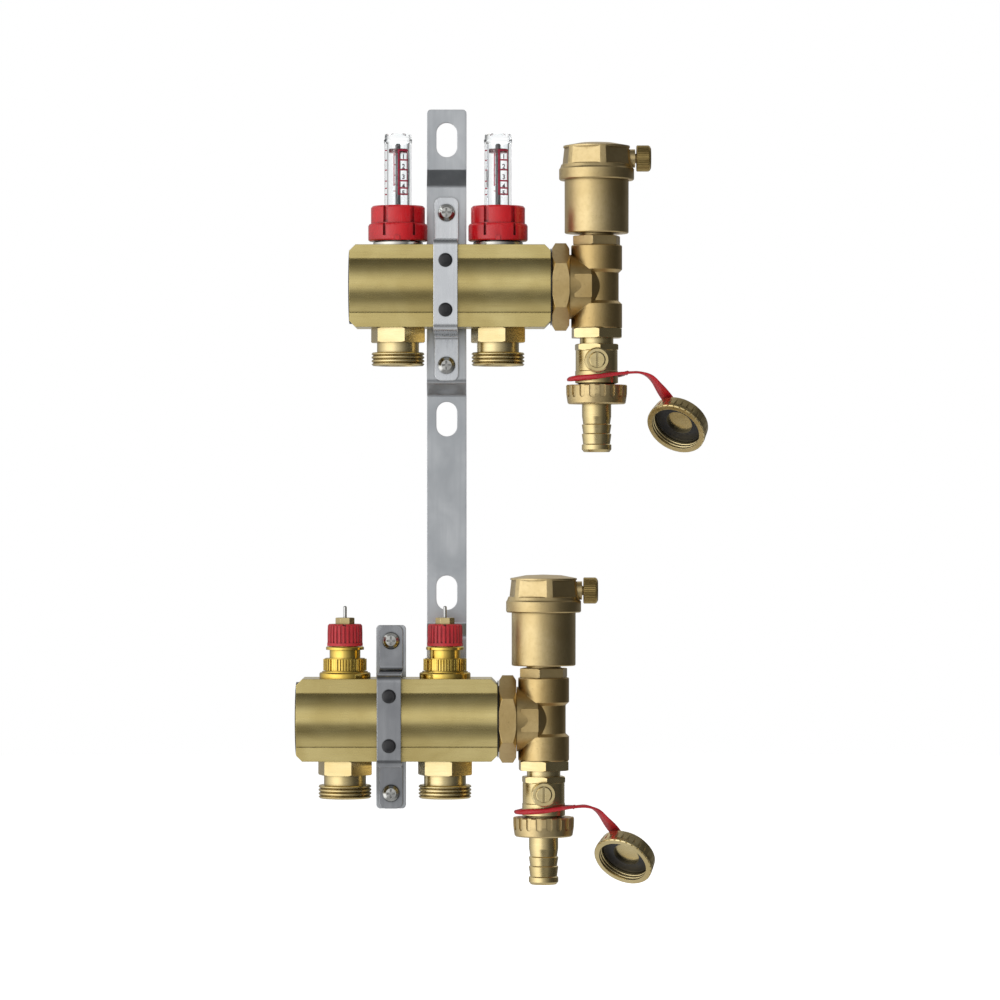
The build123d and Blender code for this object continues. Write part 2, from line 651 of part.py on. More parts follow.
def vent_needle():
    """Needle on top of the float, closing the seat in the cap as the float rises."""
    tip = CAP_SHOULDER - 8.6 - FLOAT_TRAVEL
    foot = VENT_BASE + 25.0
    return turned([(0, foot), (2.2, foot), (2.2, foot + 1.0), (1.0, foot + 1.6), (1.0, tip - 1.2), (0, tip)])


place("vent_bodies", vent_body(), [UPPER_TEE, LOWER_TEE])
place("vent_caps", vent_cap(), [UPPER_TEE, LOWER_TEE])
place("vent_orings", washer(14.5, 16.0, VENT_RIM + 0.05, VENT_RIM + 1.3), [UPPER_TEE, LOWER_TEE])
KNOB_X = 19.9
for side, centre in TEES.items():
    knob_place = Location(centre) * Location((KNOB_X, 0, KNOB_HEIGHT), (0, 90, 0))
    place(f"vent_knob_{side}", vent_knob(), [knob_place])
    place(f"vent_float_{side}", vent_float(), [centre])
    place(f"vent_needle_{side}", vent_needle(), [centre])


# ---------------------------------------------------------------- drain ball valves
BUSH_LOW = -TEE_HALF - 4.8
VALVE_TOP = BUSH_LOW - 3.0
BODY_TOP = VALVE_TOP - 3.0
BODY_STEP = BODY_TOP - 10.3
BODY_LOW = BODY_TOP - 16.4
SPIGOT_LOW = BODY_LOW - 6.2
BODY_RADIUS = 10.5
BALL_RADIUS = 7.0
BORE = 4.75
BOSS_RADIUS = 6.2
BOSS_OUT = 15.6
STEM_RADIUS = 4.05


def drain_bushing():
    """Reducing bushing under the tee: threaded stub, hexagon, and the neck of the valve's thread."""
    with BuildPart() as bush:
        profile = [
            (5.5, -TEE_HALF + 9), (9.1, -TEE_HALF + 9), (9.1, -TEE_HALF), (11.0, -TEE_HALF), (11.0, BUSH_LOW),
            (8.4, BUSH_LOW), (8.4, VALVE_TOP), (5.5, VALVE_TOP),
        ]
        add(turned(profile))
        add(hexagon(13.8, BUSH_LOW, -TEE_HALF, turn=34.0, bevel=0.8))
        Cylinder(5.5, 100, mode=Mode.SUBTRACT)
    return bush.part


def drain_body():
    """Ball valve body: hexagon collar, barrel, stem boss towards the viewer, threaded outlet spigot."""
    with BuildPart() as body:
        profile = [
            (0, VALVE_TOP), (9.5, VALVE_TOP), (9.5, BODY_TOP), (BODY_RADIUS - 0.3, BODY_TOP),
            (BODY_RADIUS, BODY_TOP - 0.4), (BODY_RADIUS, BODY_STEP), (BODY_RADIUS + 0.25, BODY_STEP - 0.4),
            (BODY_RADIUS + 0.25, BODY_LOW), (9.0, BODY_LOW - 0.6), (9.0, SPIGOT_LOW), (0, SPIGOT_LOW),
        ]
        add(turned(profile))
        add(hexagon(11.6, BODY_TOP - 0.2, VALVE_TOP, turn=38.0, bevel=0.9))
        with Locations(Location((0, 0, BALL_ABOVE), (90, 0, 0))):
            Cylinder(BOSS_RADIUS, BOSS_OUT, align=FROM_PLANE)
            Cylinder(STEM_RADIUS + 0.06, BOSS_OUT + 1, align=FROM_PLANE, mode=Mode.SUBTRACT)
        boss_rim = body.edges().filter_by(GeomType.CIRCLE).sort_by(Axis.Y)[0:2]
        chamfer(boss_rim.sort_by(SortBy.LENGTH)[-1], 0.7)
        with Locations((0, 0, BALL_ABOVE)):
            Cylinder(BALL_RADIUS + 0.3, 2 * BALL_RADIUS - 1.0, mode=Mode.SUBTRACT)
        Cylinder(BORE, 200, mode=Mode.SUBTRACT)
    return body.part


def drain_ball():
    """Ball about its own centre: bore along Z, driver slot towards the stem."""
    with BuildPart() as ball:
        Sphere(BALL_RADIUS)
        Cylinder(BORE, 30, mode=Mode.SUBTRACT)
        with Locations((0, -BALL_RADIUS, 0)):
            Box(2.2, 2.4, 20, mode=Mode.SUBTRACT)
    return ball.part


def drain_stem():
    """Slotted stem about the ball's centre, along -Y: tongue in the ball's slot, face at the boss."""
    with BuildPart() as stem:
        profile = [
            (-BALL_RADIUS - 0.4, 0), (-BALL_RADIUS - 0.4, STEM_RADIUS), (-BOSS_OUT - 0.2, STEM_RADIUS),
            (-BOSS_OUT - 0.7, STEM_RADIUS - 0.5), (-BOSS_OUT - 0.7, 0),
        ]
        add(turned(profile, Plane.YZ, Axis.Y))
        with Locations((0, -BALL_RADIUS + 0.05, 0)):
            Box(2.0, 1.5, 5.6)
        with Locations((0, -BOSS_OUT - 0.7, 0)):
            Box(1.1, 2.4, 12, mode=Mode.SUBTRACT)
    return stem.part


def ball_seat():
    """Seal ring above the ball, its seat shaped to the ball, about the ball's centre."""
    with BuildPart() as seat:
        add(washer(BORE + 0.3, BALL_RADIUS + 0.2, 4.4, 6.4))
        Sphere(BALL_RADIUS + 0.05, mode=Mode.SUBTRACT)
    return seat.part


place("drain_bushings", drain_bushing(), [UPPER_TEE, LOWER_TEE])
place("drain_bodies", drain_body(), [UPPER_TEE, LOWER_TEE])
ball_centres = {side: Location(centre) * Pos(0, 0, BALL_ABOVE) for side, centre in TEES.items()}
seat_places = [centre * Rot(flip, 0, 0) for centre in ball_centres.values() for flip in (0, 180)]
place("ball_seats", ball_seat(), seat_places)
for side, centre in ball_centres.items():
    place(f"drain_ball_{side}", drain_ball(), [centre])
    place(f"drain_stem_{side}", drain_stem(), [centre])


# ---------------------------------------------------------------- hose unions
NUT_TOP = BODY_LOW - 1.0
NUT_LOW = NUT_TOP - 9.6
TAIL_LOW = NUT_LOW - 24.0
TAIL_FLANGE = SPIGOT_LOW - 1.0
TAIL_RADIUS = 7.3


def hose_nut():
    """Castellated union nut of the drain outlet, captive above the hose tail's flange."""
    with BuildPart() as nut:
        wall = [
            (9.25, NUT_TOP), (14.9, NUT_TOP), (15.3, NUT_TOP - 0.5), (15.2, NUT_TOP - 4.6),
            (14.5, NUT_LOW + 0.6),
            (13.9, NUT_LOW), (8.2, NUT_LOW), (8.2, NUT_LOW + 1.8), (11.3, NUT_LOW + 1.8),
            (11.3, NUT_TOP - 5.0),
            (9.25, NUT_TOP - 5.0),
        ]
        add(turned(wall))
        with PolarLocations(15.5, 18):
            with Locations((0, 0, NUT_TOP - 2.4)):
                Box(2.2, 2.7, 5.0, mode=Mode.SUBTRACT)
                with Locations((0, 0, -2.5)):
                    Cylinder(1.35, 2.2, rotation=(0, 90, 0), mode=Mode.SUBTRACT)
    return nut.part


def hose_tail():
    """Hose tail: flange inside the nut, plain neck, three barbs, bevelled end."""
    barb = [(TAIL_RADIUS, NUT_LOW - 6.2)]
    for ridge in (10.4, 15.1, 20.4):
        barb.append((6.75, NUT_LOW - ridge + 0.5))
        barb.append((TAIL_RADIUS + 0.1, NUT_LOW - ridge))
    profile = [
        (BORE, TAIL_FLANGE), (11.0, TAIL_FLANGE), (11.0, TAIL_FLANGE - 1.3), (7.9, TAIL_FLANGE - 1.3),
        (7.9, NUT_LOW), (TAIL_RADIUS, NUT_LOW),
    ]
    profile += barb
    profile += [(TAIL_RADIUS + 0.1, TAIL_LOW + 1.3), (6.4, TAIL_LOW), (BORE, TAIL_LOW)]
    return turned(profile)


place("hose_tails", hose_tail(), [UPPER_TEE, LOWER_TEE])
place("hose_gaskets", washer(BORE + 0.3, 8.9, TAIL_FLANGE, SPIGOT_LOW), [UPPER_TEE, LOWER_TEE])
for side, centre in TEES.items():
    place(f"hose_nut_{side}", hose_nut(), [centre])


# ---------------------------------------------------------------- closing caps on their straps
CAP_MOUTH = (39.3, -4.0, -71.2)       # mouth centre, from the tee axis
CAP_OUT = Vector(-0.387, -0.663, -0.641).normalized()
CAP_ACROSS = Vector(0.856, 0.0, -0.517)
CAP_DEEP = 9.0
CAP_BORE = 12.6


def closing_cap():
    """Brass cap, mouth at z = 0 opening along +Z, ribbed wall, thread rings and a pin at the back."""
    with BuildPart() as cap:
        add(fluted(15.3, 0.5, 30, -CAP_DEEP, 0, share=0.6))
        shell = [
            (0, -CAP_DEEP), (12.8, -CAP_DEEP), (14.6, -CAP_DEEP + 1.6), (15.3, -2.2), (15.3, -0.5),
            (14.9, 0), (0, 0),
        ]
        add(turned(shell), mode=Mode.INTERSECT)
        add(washer(13.0, 15.3, -1.8, -0.5))
        with Locations((0, 0, -CAP_DEEP + 2.0)):
            Cylinder(CAP_BORE, 20, align=FROM_PLANE, mode=Mode.SUBTRACT)
        for ring in range(2):
            middle = -1.4 - 1.8 * ring
            lip = CAP_BORE - 0.5
            groove = [(lip, middle - 0.8), (CAP_BORE + 0.7, middle), (lip, middle + 0.8)]
            add(turned(groove), mode=Mode.SUBTRACT)
        with Locations((0, 0, -CAP_DEEP)):
            Cylinder(2.0, 1.6, align=(Align.CENTER, Align.CENTER, Align.MAX))
    return cap.part


STRAP_BAND = 7.0
TETHER_THICK = 1.2
RING_HEIGHT = BODY_LOW - 0.2


def tether_strap():
    """Moulded strap about the tee axis: ring round the valve, tongue across the front, eye on the cap."""
    back = Vector(*CAP_MOUTH) - CAP_OUT * (CAP_DEEP + TETHER_THICK / 2 + 0.15)
    away = Vector(-7.6, -4.2, 8.9).normalized()
    away = (away - CAP_OUT * away.dot(CAP_OUT)).normalized()
    edge = back + away * 12.5
    # stations: centre, direction of travel, width direction, width
    stations = [
        ((-12.9, 1.5, RING_HEIGHT + 1.3), (0, -1, 0.1), (1, 0, 0), 3.0),
        ((-12.6, -4.5, RING_HEIGHT + 2.2), (0.35, -1, 0.12), (1, 0.35, 0), 3.6),
        ((-8.6, -10.4, RING_HEIGHT + 3.0), (0.85, -0.7, 0.1), (0.7, 0.85, 0), 4.0),
        ((-1.0, -13.7, RING_HEIGHT + 3.45), (1, -0.02, 0.1), (0, 1, 0), 4.4),
        ((8.0, -12.3, RING_HEIGHT + 4.2), (1, 0.2, 0.1), (-0.2, 1, 0), 4.8),
        ((17.0, -10.0, RING_HEIGHT + 4.95), (1, 0.2, 0.06), (-0.2, 1, 0), 5.6),
        ((23.4, -8.8, RING_HEIGHT + 4.9), (1, 0.15, -0.35), (-0.15, 1, 0.05), 6.2),
        ((28.2, -7.8, RING_HEIGHT + 1.6), (0.75, 0.1, -0.8), (-0.35, 0.95, -0.1), STRAP_BAND),
        ((31.8, -6.6, RING_HEIGHT - 3.2), (0.62, 0.2, -0.85), (-0.55, 0.8, -0.2), STRAP_BAND),
        (tuple(edge + away * 2.2 - CAP_OUT * 0.4), tuple(-away), None, STRAP_BAND),
        (tuple(edge - away * 2.5), tuple(-away), None, STRAP_BAND),
        (tuple(back), tuple(-away), None, STRAP_BAND - 1.0),
    ]
    end_width = (CAP_OUT * -1).cross(away * -1)
    with BuildPart() as strap:
        for centre, travel, across, width in stations:
            across_dir = Vector(*across) if across else end_width
            travel_dir = Vector(*travel)
            across_dir = (across_dir - travel_dir * (across_dir.dot(travel_dir) / travel_dir.dot(travel_dir)))
            with BuildSketch(Plane(origin=centre, x_dir=across_dir, z_dir=travel_dir)):
                Rectangle(width, TETHER_THICK)
        loft(ruled=True)
        add(washer(11.4, 14.4, RING_HEIGHT - 0.6, RING_HEIGHT + 0.6))
        with Locations((-12.9, 1.5, RING_HEIGHT + 0.9)):
            Box(3.0, 5.0, 2.0)
        eye_plane = Plane(origin=back, x_dir=CAP_ACROSS, z_dir=CAP_OUT)
        with BuildSketch(eye_plane.offset(-TETHER_THICK / 2)):
            Circle(4.4)
        extrude(amount=TETHER_THICK)
        with BuildSketch(eye_plane.offset(-3)):
            Circle(2.05)
        extrude(amount=6, mode=Mode.SUBTRACT)
    return strap.part


cap_plane = Plane(origin=CAP_MOUTH, x_dir=CAP_ACROSS, z_dir=CAP_OUT)
tether_shape = tether_strap()
cap_shape = closing_cap()
seal_shape = washer(6.8, 12.4, -CAP_DEEP + 2.0, -CAP_DEEP + 3.8)
for side, centre in TEES.items():
    mouth = Location(centre) * cap_plane.location
    place(f"closing_cap_{side}", cap_shape, [mouth])
    place(f"cap_seal_{side}", seal_shape, [mouth])
    place(f"tether_strap_{side}", tether_shape, [centre])
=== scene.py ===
"""Looks of the underfloor heating manifold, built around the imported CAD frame."""

import bpy
import bmesh
import math
from mathutils import Matrix, Vector


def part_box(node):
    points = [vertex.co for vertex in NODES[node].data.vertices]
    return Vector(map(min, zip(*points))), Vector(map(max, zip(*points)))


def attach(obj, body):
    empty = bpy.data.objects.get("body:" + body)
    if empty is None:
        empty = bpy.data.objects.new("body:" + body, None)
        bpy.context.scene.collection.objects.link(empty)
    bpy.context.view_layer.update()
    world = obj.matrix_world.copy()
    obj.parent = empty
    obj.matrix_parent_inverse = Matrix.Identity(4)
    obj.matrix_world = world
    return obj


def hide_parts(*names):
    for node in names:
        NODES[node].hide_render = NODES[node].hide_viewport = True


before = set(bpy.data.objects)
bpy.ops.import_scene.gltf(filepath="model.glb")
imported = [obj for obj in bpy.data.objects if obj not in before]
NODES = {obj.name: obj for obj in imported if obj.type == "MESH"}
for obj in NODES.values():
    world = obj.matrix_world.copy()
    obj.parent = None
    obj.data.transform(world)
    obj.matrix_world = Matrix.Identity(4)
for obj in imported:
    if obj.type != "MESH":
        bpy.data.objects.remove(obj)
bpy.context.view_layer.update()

MM = 0.001


# ---------------------------------------------------------------- materials

class Paint:
    """A procedural material, built up one node at a time."""

    def __init__(self, name, metallic=0.0, **sockets):
        self.material = bpy.data.materials.new(name)
        self.material.use_nodes = True
        self.nodes = self.material.node_tree.nodes
        self.links = self.material.node_tree.links
        self.shader = self.nodes["Principled BSDF"]
        self.shader.inputs["Metallic"].default_value = metallic
        for key, value in sockets.items():
            self.shader.inputs[key.replace("_", " ")].default_value = value
        self.place = self.new("TexCoord").outputs["Object"]
        self.normal = None

    def new(self, kind, inputs=(), **settings):
        """A shader node with its settings, and its inputs set or linked."""
        node = self.nodes.new("ShaderNode" + kind)
        for key, value in settings.items():
            setattr(node, key, value)
        for key, value in dict(inputs).items():
            if isinstance(value, bpy.types.NodeSocket):
                self.links.new(value, node.inputs[key])
            else:
                node.inputs[key].default_value = value
        return node

    def noise(self, size, detail=3.0, stretch=(1, 1, 1), seed=0.0, warp=0.0):
        """Noise whose features are about size millimetres across, drawn out along an axis where stretch is below 1."""
        spread = self.new("Mapping", {
            "Vector": self.place,
            "Location": (seed, 0.7 * seed, -0.4 * seed),
            "Scale": tuple(s / (size * MM) for s in stretch),
        })
        return self.new("TexNoise", {
            "Vector": spread.outputs[0],
            "Scale": 1.0,
            "Detail": detail,
            "Distortion": warp,
        }).outputs[0]

    def span(self, value, low, high, bottom=0.0, top=1.0):
        """value from low to high, taken to bottom to top and held there."""
        return self.new("MapRange", {
            "Value": value,
            "From Min": low,
            "From Max": high,
            "To Min": bottom,
            "To Max": top,
        }).outputs[0]

    def math(self, operation, first, second):
        return self.new("Math", {0: first, 1: second}, operation=operation).outputs[0]

    def mix(self, share, first, second, blend="MIX"):
        """One colour over another."""
        node = self.new("Mix", {0: share, 6: first, 7: second}, data_type="RGBA", blend_type=blend)
        return node.outputs[2]

    def rounded_edges(self, radius):
        """Softens the edges by radius millimetres and returns where they are, from 0 to 1."""
        soft = self.new("Bevel", {"Radius": radius * MM}, samples=4).outputs[0]
        plain = self.new("NewGeometry").outputs["Normal"]
        along = self.new("VectorMath", {0: soft, 1: plain}, operation="DOT_PRODUCT").outputs["Value"]
        self.normal = soft
        return self.span(along, 0.992, 0.86)

    def corners(self, reach, darkest):
        """Painted shade: a brightness that falls to darkest inside slots and corners, felt over reach millimetres."""
        open_sky = self.new("AmbientOcclusion", {"Distance": reach * MM}, samples=6).outputs["AO"]
        return self.span(open_sky, 0.25, 0.85, darkest, 1.0)

    def shaded(self, colour, shade):
        """colour times a brightness."""
        tone = self.new("CombineColor", {0: shade, 1: shade, 2: shade}).outputs[0]
        return self.mix(1.0, colour, tone, "MULTIPLY")

    def bump(self, height, depth, strength=1.0):
        """Raises the surface by height times depth millimetres."""
        inputs = {"Height": height, "Distance": depth * MM, "Strength": strength}
        if self.normal is not None:
            inputs["Normal"] = self.normal
        self.normal = self.new("Bump", inputs).outputs[0]

    def done(self, colour, roughness):
        """Wires the colour, roughness and normal up, and returns the material."""
        for key, value in (("Base Color", colour), ("Roughness", roughness), ("Normal", self.normal)):
            if value is not None:
                self.links.new(value, self.shader.inputs[key])
        return self.material


def rgb(*values):
    """A shader colour from 0-255 screen values."""
    linear = [((v / 255 + 0.055) / 1.055) ** 2.4 if v > 10 else v / 3294.6 for v in values]
    return (*linear, 1.0)


def metal(name, light, dark, stain, rough, grain=(1, 1, 1), grain_size=0.12, grain_depth=0.01,
          spots=0.35, edge_wear_and_highlight=0.5, edge=0.25, pits=0.0, seed=0.0):
    """A metal with drawn or turned grain, patches of tarnish, small spots, edges made brighter partly as rubbed wear
    and partly as painted highlight, and painted shade in its slots and corners.
    """
    p = Paint(name, metallic=1.0)
    rim = p.rounded_edges(edge)
    lines = p.noise(grain_size, 4.0, grain, seed)
    broad = p.noise(22, 3.0, (1, 1, 1), seed + 3.1, 0.4)
    streaks = p.noise(2.2, 3.0, tuple(g if g < 1 else 1.0 for g in grain), seed + 9.3)
    small = p.noise(1.1, 4.0, tuple(0.12 if g < 1 else 1.0 for g in grain), seed + 7.7)
    colour = p.mix(p.span(broad, 0.35, 0.68), light, dark)
    colour = p.mix(p.span(lines, 0.35, 0.75, 0.0, 0.25), colour, dark)
    colour = p.mix(p.span(streaks, 0.45, 0.75, 0.0, 0.5), colour, dark)
    colour = p.mix(p.span(small, 0.64, 0.78, 0.0, spots), colour, stain)
    # painted highlight and rubbed wear: edges mixed towards a lighter colour
    colour = p.mix(p.math("MULTIPLY", rim, edge_wear_and_highlight), colour, tuple(min(1.0, c * 1.25) for c in light[:3]) + (1.0,))
    # painted shade: slots and corners darkened, standing also for tarnish in the hollows
    colour = p.shaded(colour, p.corners(1.6, 0.45))
    shine = p.math("ADD", p.span(small, 0.3, 0.7, rough - 0.03, rough + 0.05),
                   p.span(lines, 0.3, 0.7, -0.02, 0.02))
    p.bump(lines, grain_depth)
    if pits:
        p.bump(p.noise(0.9, 3.0, (1, 1, 1), seed + 5.5), pits)
    return p.done(colour, shine)


def moulded(name, light, dark, rough, grain_depth=0.004, edge_wear_and_highlight=0.25, edge=0.2, seed=0.0, band=None, **sockets):
    """Moulded plastic or rubber: a faint cloudiness, fine texture, paler edges that are partly rubbed wear and partly
    painted highlight, and painted shade in slots and corners.

    band is (lowest, highest, colour) for a coloured stretch between two heights in metres.
    """
    p = Paint(name, **sockets)
    rim = p.rounded_edges(edge)
    cloud = p.noise(9, 3.0, (1, 1, 1), seed)
    fine = p.noise(0.3, 3.0, (1, 1, 1), seed + 2.2)
    scuffs = p.noise(2.4, 5.0, (1, 1, 0.25), seed + 4.4, 0.6)
    colour = p.mix(p.span(cloud, 0.35, 0.7), light, dark)
    paler = tuple(min(1.0, 0.75 * c + 0.12) for c in light[:3]) + (1.0,)
    colour = p.mix(p.span(scuffs, 0.62, 0.8, 0.0, 0.25), colour, paler)
    # painted highlight and rubbed wear: edges mixed towards the paler colour
    colour = p.mix(p.math("MULTIPLY", rim, edge_wear_and_highlight), colour, paler)
    if band is not None:
        height = p.new("SeparateXYZ", {0: p.place}).outputs["Z"]
        low, high, band_colour = band
        inside = p.math("MULTIPLY", p.math("GREATER_THAN", height, low), p.math("LESS_THAN", height, high))
        colour = p.mix(inside, colour, p.mix(p.span(cloud, 0.35, 0.7, 0.0, 0.3), band_colour, dark))
    # painted shade: slots and corners darkened
    colour = p.shaded(colour, p.corners(2.0, 0.2))
    shine = p.math("ADD", p.span(cloud, 0.3, 0.7, rough - 0.04, rough + 0.05),
                   p.span(scuffs, 0.55, 0.8, 0.0, 0.12))
    p.bump(fine, grain_depth)
    return p.done(colour, shine)


def clear(name):
    """Clear moulded plastic with faint haze and tiny ripples."""
    p = Paint(name, IOR=1.32, Transmission_Weight=1.0)
    haze = p.noise(5, 3.0, (1, 1, 0.3), 1.3)
    colour = p.mix(p.span(haze, 0.4, 0.75, 0.0, 1.0), rgb(252, 253, 253), rgb(240, 244, 246))
    p.bump(p.noise(2.5, 2.0, (1, 1, 0.2), 4.0), 0.01)
    return p.done(colour, p.span(haze, 0.4, 0.8, 0.02, 0.09))


RINGS = (0.12, 0.12, 1.0)
ALONG_X = (0.02, 1.0, 1.0)
ALONG_Z = (1.0, 1.0, 0.03)
DARK_SPOT = rgb(92, 74, 38)
GREY_SPOT = rgb(118, 120, 122)
FLOAT_BAND = (0.1749, 0.177)          # heights of the float disc on the indicator rods

FINISHES = {
    "extruded_brass": metal("extruded_brass", rgb(226, 208, 144), rgb(204, 184, 120), DARK_SPOT, 0.24,
                            ALONG_X, 0.25, 0.001, 0.05, 0.8, 0.4, seed=1.0),
    "machined_brass": metal("machined_brass", rgb(234, 216, 166), rgb(212, 190, 134), DARK_SPOT, 0.24,
                            RINGS, 0.35, 0.0006, 0.06, 0.6, 0.2, seed=2.0),
    "polished_brass": metal("polished_brass", rgb(246, 214, 116), rgb(228, 190, 84), rgb(120, 86, 20), 0.14,
                            RINGS, 0.35, 0.0006, 0.05, 0.5, 0.2, seed=3.0),
    "forged_brass": metal("forged_brass", rgb(218, 192, 136), rgb(194, 166, 110), DARK_SPOT, 0.36,
                          (1, 1, 1), 0.3, 0.01, 0.3, 0.6, 0.35, 0.06, seed=4.0),
    "blasted_brass": metal("blasted_brass", rgb(222, 200, 150), rgb(200, 176, 124), DARK_SPOT, 0.36,
                           (1, 1, 1), 0.3, 0.01, 0.25, 0.7, 0.3, 0.045, seed=5.0),
    "knurled_brass": metal("knurled_brass", rgb(204, 180, 118), rgb(176, 150, 92), DARK_SPOT, 0.34,
                           (1, 1, 1), 0.3, 0.008, 0.4, 0.6, 0.15, seed=6.0),
    "nickel": metal("nickel", rgb(226, 224, 216), rgb(204, 202, 194), GREY_SPOT, 0.2,
                    RINGS, 0.35, 0.001, 0.1, 0.4, 0.2, seed=7.0),
    "zinc_strip": metal("zinc_strip", rgb(210, 213, 216), rgb(184, 188, 192), GREY_SPOT, 0.32,
                        ALONG_Z, 0.3, 0.0006, 0.05, 0.7, 0.5, seed=8.0),
    "zinc_plate": metal("zinc_plate", rgb(204, 207, 210), rgb(178, 182, 186), GREY_SPOT, 0.32,
                        ALONG_Z, 0.3, 0.0006, 0.05, 0.7, 0.5, seed=9.0),
    "zinc_strap": metal("zinc_strap", rgb(234, 237, 240), rgb(214, 217, 221), GREY_SPOT, 0.24,
                        ALONG_Z, 0.25, 0.0004, 0.04, 0.9, 0.55, seed=10.0),
    "zinc_hardware": metal("zinc_hardware", rgb(214, 214, 210), rgb(186, 186, 182), GREY_SPOT, 0.2,
                           (1, 1, 1), 0.3, 0.001, 0.2, 0.5, 0.15, seed=11.0),
    "spring_steel": metal("spring_steel", rgb(206, 208, 210), rgb(178, 180, 184), GREY_SPOT, 0.24,
                          RINGS, 0.2, 0.002, 0.2, 0.3, 0.05, seed=12.0),
    "stainless_pin": metal("stainless_pin", rgb(216, 216, 214), rgb(190, 190, 188), GREY_SPOT, 0.2,
                           RINGS, 0.15, 0.003, 0.2, 0.4, 0.1, seed=13.0),
    "plated_ball": metal("plated_ball", rgb(232, 232, 228), rgb(214, 214, 210), GREY_SPOT, 0.1,
                         (1, 1, 1), 0.4, 0.001, 0.1, 0.3, 0.1, seed=14.0),
    "black_rubber": moulded("black_rubber", rgb(30, 30, 32), rgb(20, 20, 22), 0.34, 0.003, 0.25, seed=15.0),
    "red_plastic": moulded("red_plastic", rgb(176, 16, 24), rgb(156, 10, 20), 0.26, 0.002, 0.3, 0.25,
                           seed=16.0, Coat_Weight=0.2, Coat_Roughness=0.15),
    "red_preset": moulded("red_preset", rgb(172, 30, 38), rgb(148, 22, 30), 0.42, 0.005, 0.3, 0.2, seed=17.0),
    "red_strap": moulded("red_strap", rgb(164, 14, 28), rgb(138, 10, 24), 0.4, 0.004, 0.3, 0.15,
                         seed=18.0, Subsurface_Weight=0.05),
    "grey_plastic": moulded("grey_plastic", rgb(96, 99, 101), rgb(78, 81, 84), 0.35, seed=19.0,
                            band=(*FLOAT_BAND, rgb(178, 20, 46))),
    "float_plastic": moulded("float_plastic", rgb(228, 226, 218), rgb(210, 208, 200), 0.45, seed=20.0),
    "white_seat": moulded("white_seat", rgb(236, 236, 232), rgb(222, 222, 216), 0.35, seed=21.0),
    "clear_plastic": clear("clear_plastic"),
}

for node in NODES.values():
    for held in node.material_slots:
        held.material = FINISHES[held.material.name.split(".")[0]]

# single nodes that differ from the others of their finish; the lower clamp strap differs only by painted shade and
# painted highlight
SPECIAL = {
    # painted shade: a darker copy of zinc_strap for the dark surroundings it reflects, with stronger painted highlight
    # on its edges
    "lower_clamp_strap": metal("painted_shade_zinc_strap", rgb(176, 178, 181), rgb(140, 142, 146), GREY_SPOT, 0.2,
                               ALONG_Z, 0.25, 0.0004, 0.04, 1.0, 0.6, seed=24.0),
    "gland_nuts": FINISHES["machined_brass"],
}
for name, finish in SPECIAL.items():
    for held in NODES[name].material_slots:
        held.material = finish


# ---------------------------------------------------------------- printed scales on the flow meters

PRINT_LIFT = 0.05
PRINT_THICK = 0.04
TUBE_RADIUS = 6.7
SCALE_TICKS = (47.5, 42.6, 37.7, 32.2, 28.6, 25.5)
SCALE_NUMBERS = ((1, 44.3), (2, 39.4), (3, 34.2), (4, 29.6), (5, 26.2))
NUMBER_HIGH = 2.3


def added(name, shape, finish):
    """A finished bmesh, put in the scene as an object with one finish."""
    bmesh.ops.recalc_face_normals(shape, faces=shape.faces)
    mesh = bpy.data.meshes.new(name)
    shape.to_mesh(mesh)
    shape.free()
    mesh.materials.append(finish)
    piece = bpy.data.objects.new(name, mesh)
    bpy.context.scene.collection.objects.link(piece)
    return piece


def printed_bar(shape, left, right, low, high):
    """A closed strip of print between two places round the tube and two heights, in millimetres."""
    steps = max(1, math.ceil((right - left) / 0.6))
    rings = []
    for step in range(steps + 1):
        across = left + (right - left) * step / steps
        corners = ((low, PRINT_LIFT), (high, PRINT_LIFT), (high, PRINT_LIFT + PRINT_THICK),
                   (low, PRINT_LIFT + PRINT_THICK))
        rings.append([shape.verts.new((across, rise, out)) for rise, out in corners])
    for first, second in zip(rings, rings[1:]):
        for side in range(4):
            after = (side + 1) % 4
            shape.faces.new((first[side], second[side], second[after], first[after]))
    shape.faces.new(rings[0])
    shape.faces.new(rings[-1][::-1])


def printed_number(shape, number, across, rise):
    """A digit of print whose left foot is at a place round the tube and a height."""
    text = bpy.data.curves.new("digit", "FONT")
    text.body = str(number)
    text.size = NUMBER_HIGH / 0.7
    text.extrude = PRINT_THICK / 2
    text.offset = 0.09
    text.resolution_u = 3
    holder = bpy.data.objects.new("digit", text)
    digit = bpy.data.meshes.new_from_object(holder)
    digit.transform(Matrix.Translation((across, rise, PRINT_LIFT + PRINT_THICK / 2)))
    shape.from_mesh(digit)
    bpy.data.objects.remove(holder)
    bpy.data.meshes.remove(digit)
    bpy.data.curves.remove(text)


def wrapped(name, shape, axis, foot, finish):
    """Bends flat print round a tube about axis (x, y) from the height foot up, and adds it as a piece."""
    for vert in shape.verts:
        across, rise, out = vert.co
        turn = across / TUBE_RADIUS
        reach = (TUBE_RADIUS + out) * MM
        vert.co = (axis[0] + reach * math.sin(turn), axis[1] - reach * math.cos(turn), foot + rise * MM)
    piece = added(name, shape, finish)
    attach(piece, "frame")


CRIMSON = moulded("crimson_print", rgb(150, 12, 50), rgb(126, 8, 40), 0.5, 0.001, 0.1, seed=22.0)
GREY_PRINT = moulded("grey_print", rgb(62, 50, 60), rgb(48, 38, 48), 0.5, 0.001, 0.1, seed=23.0)

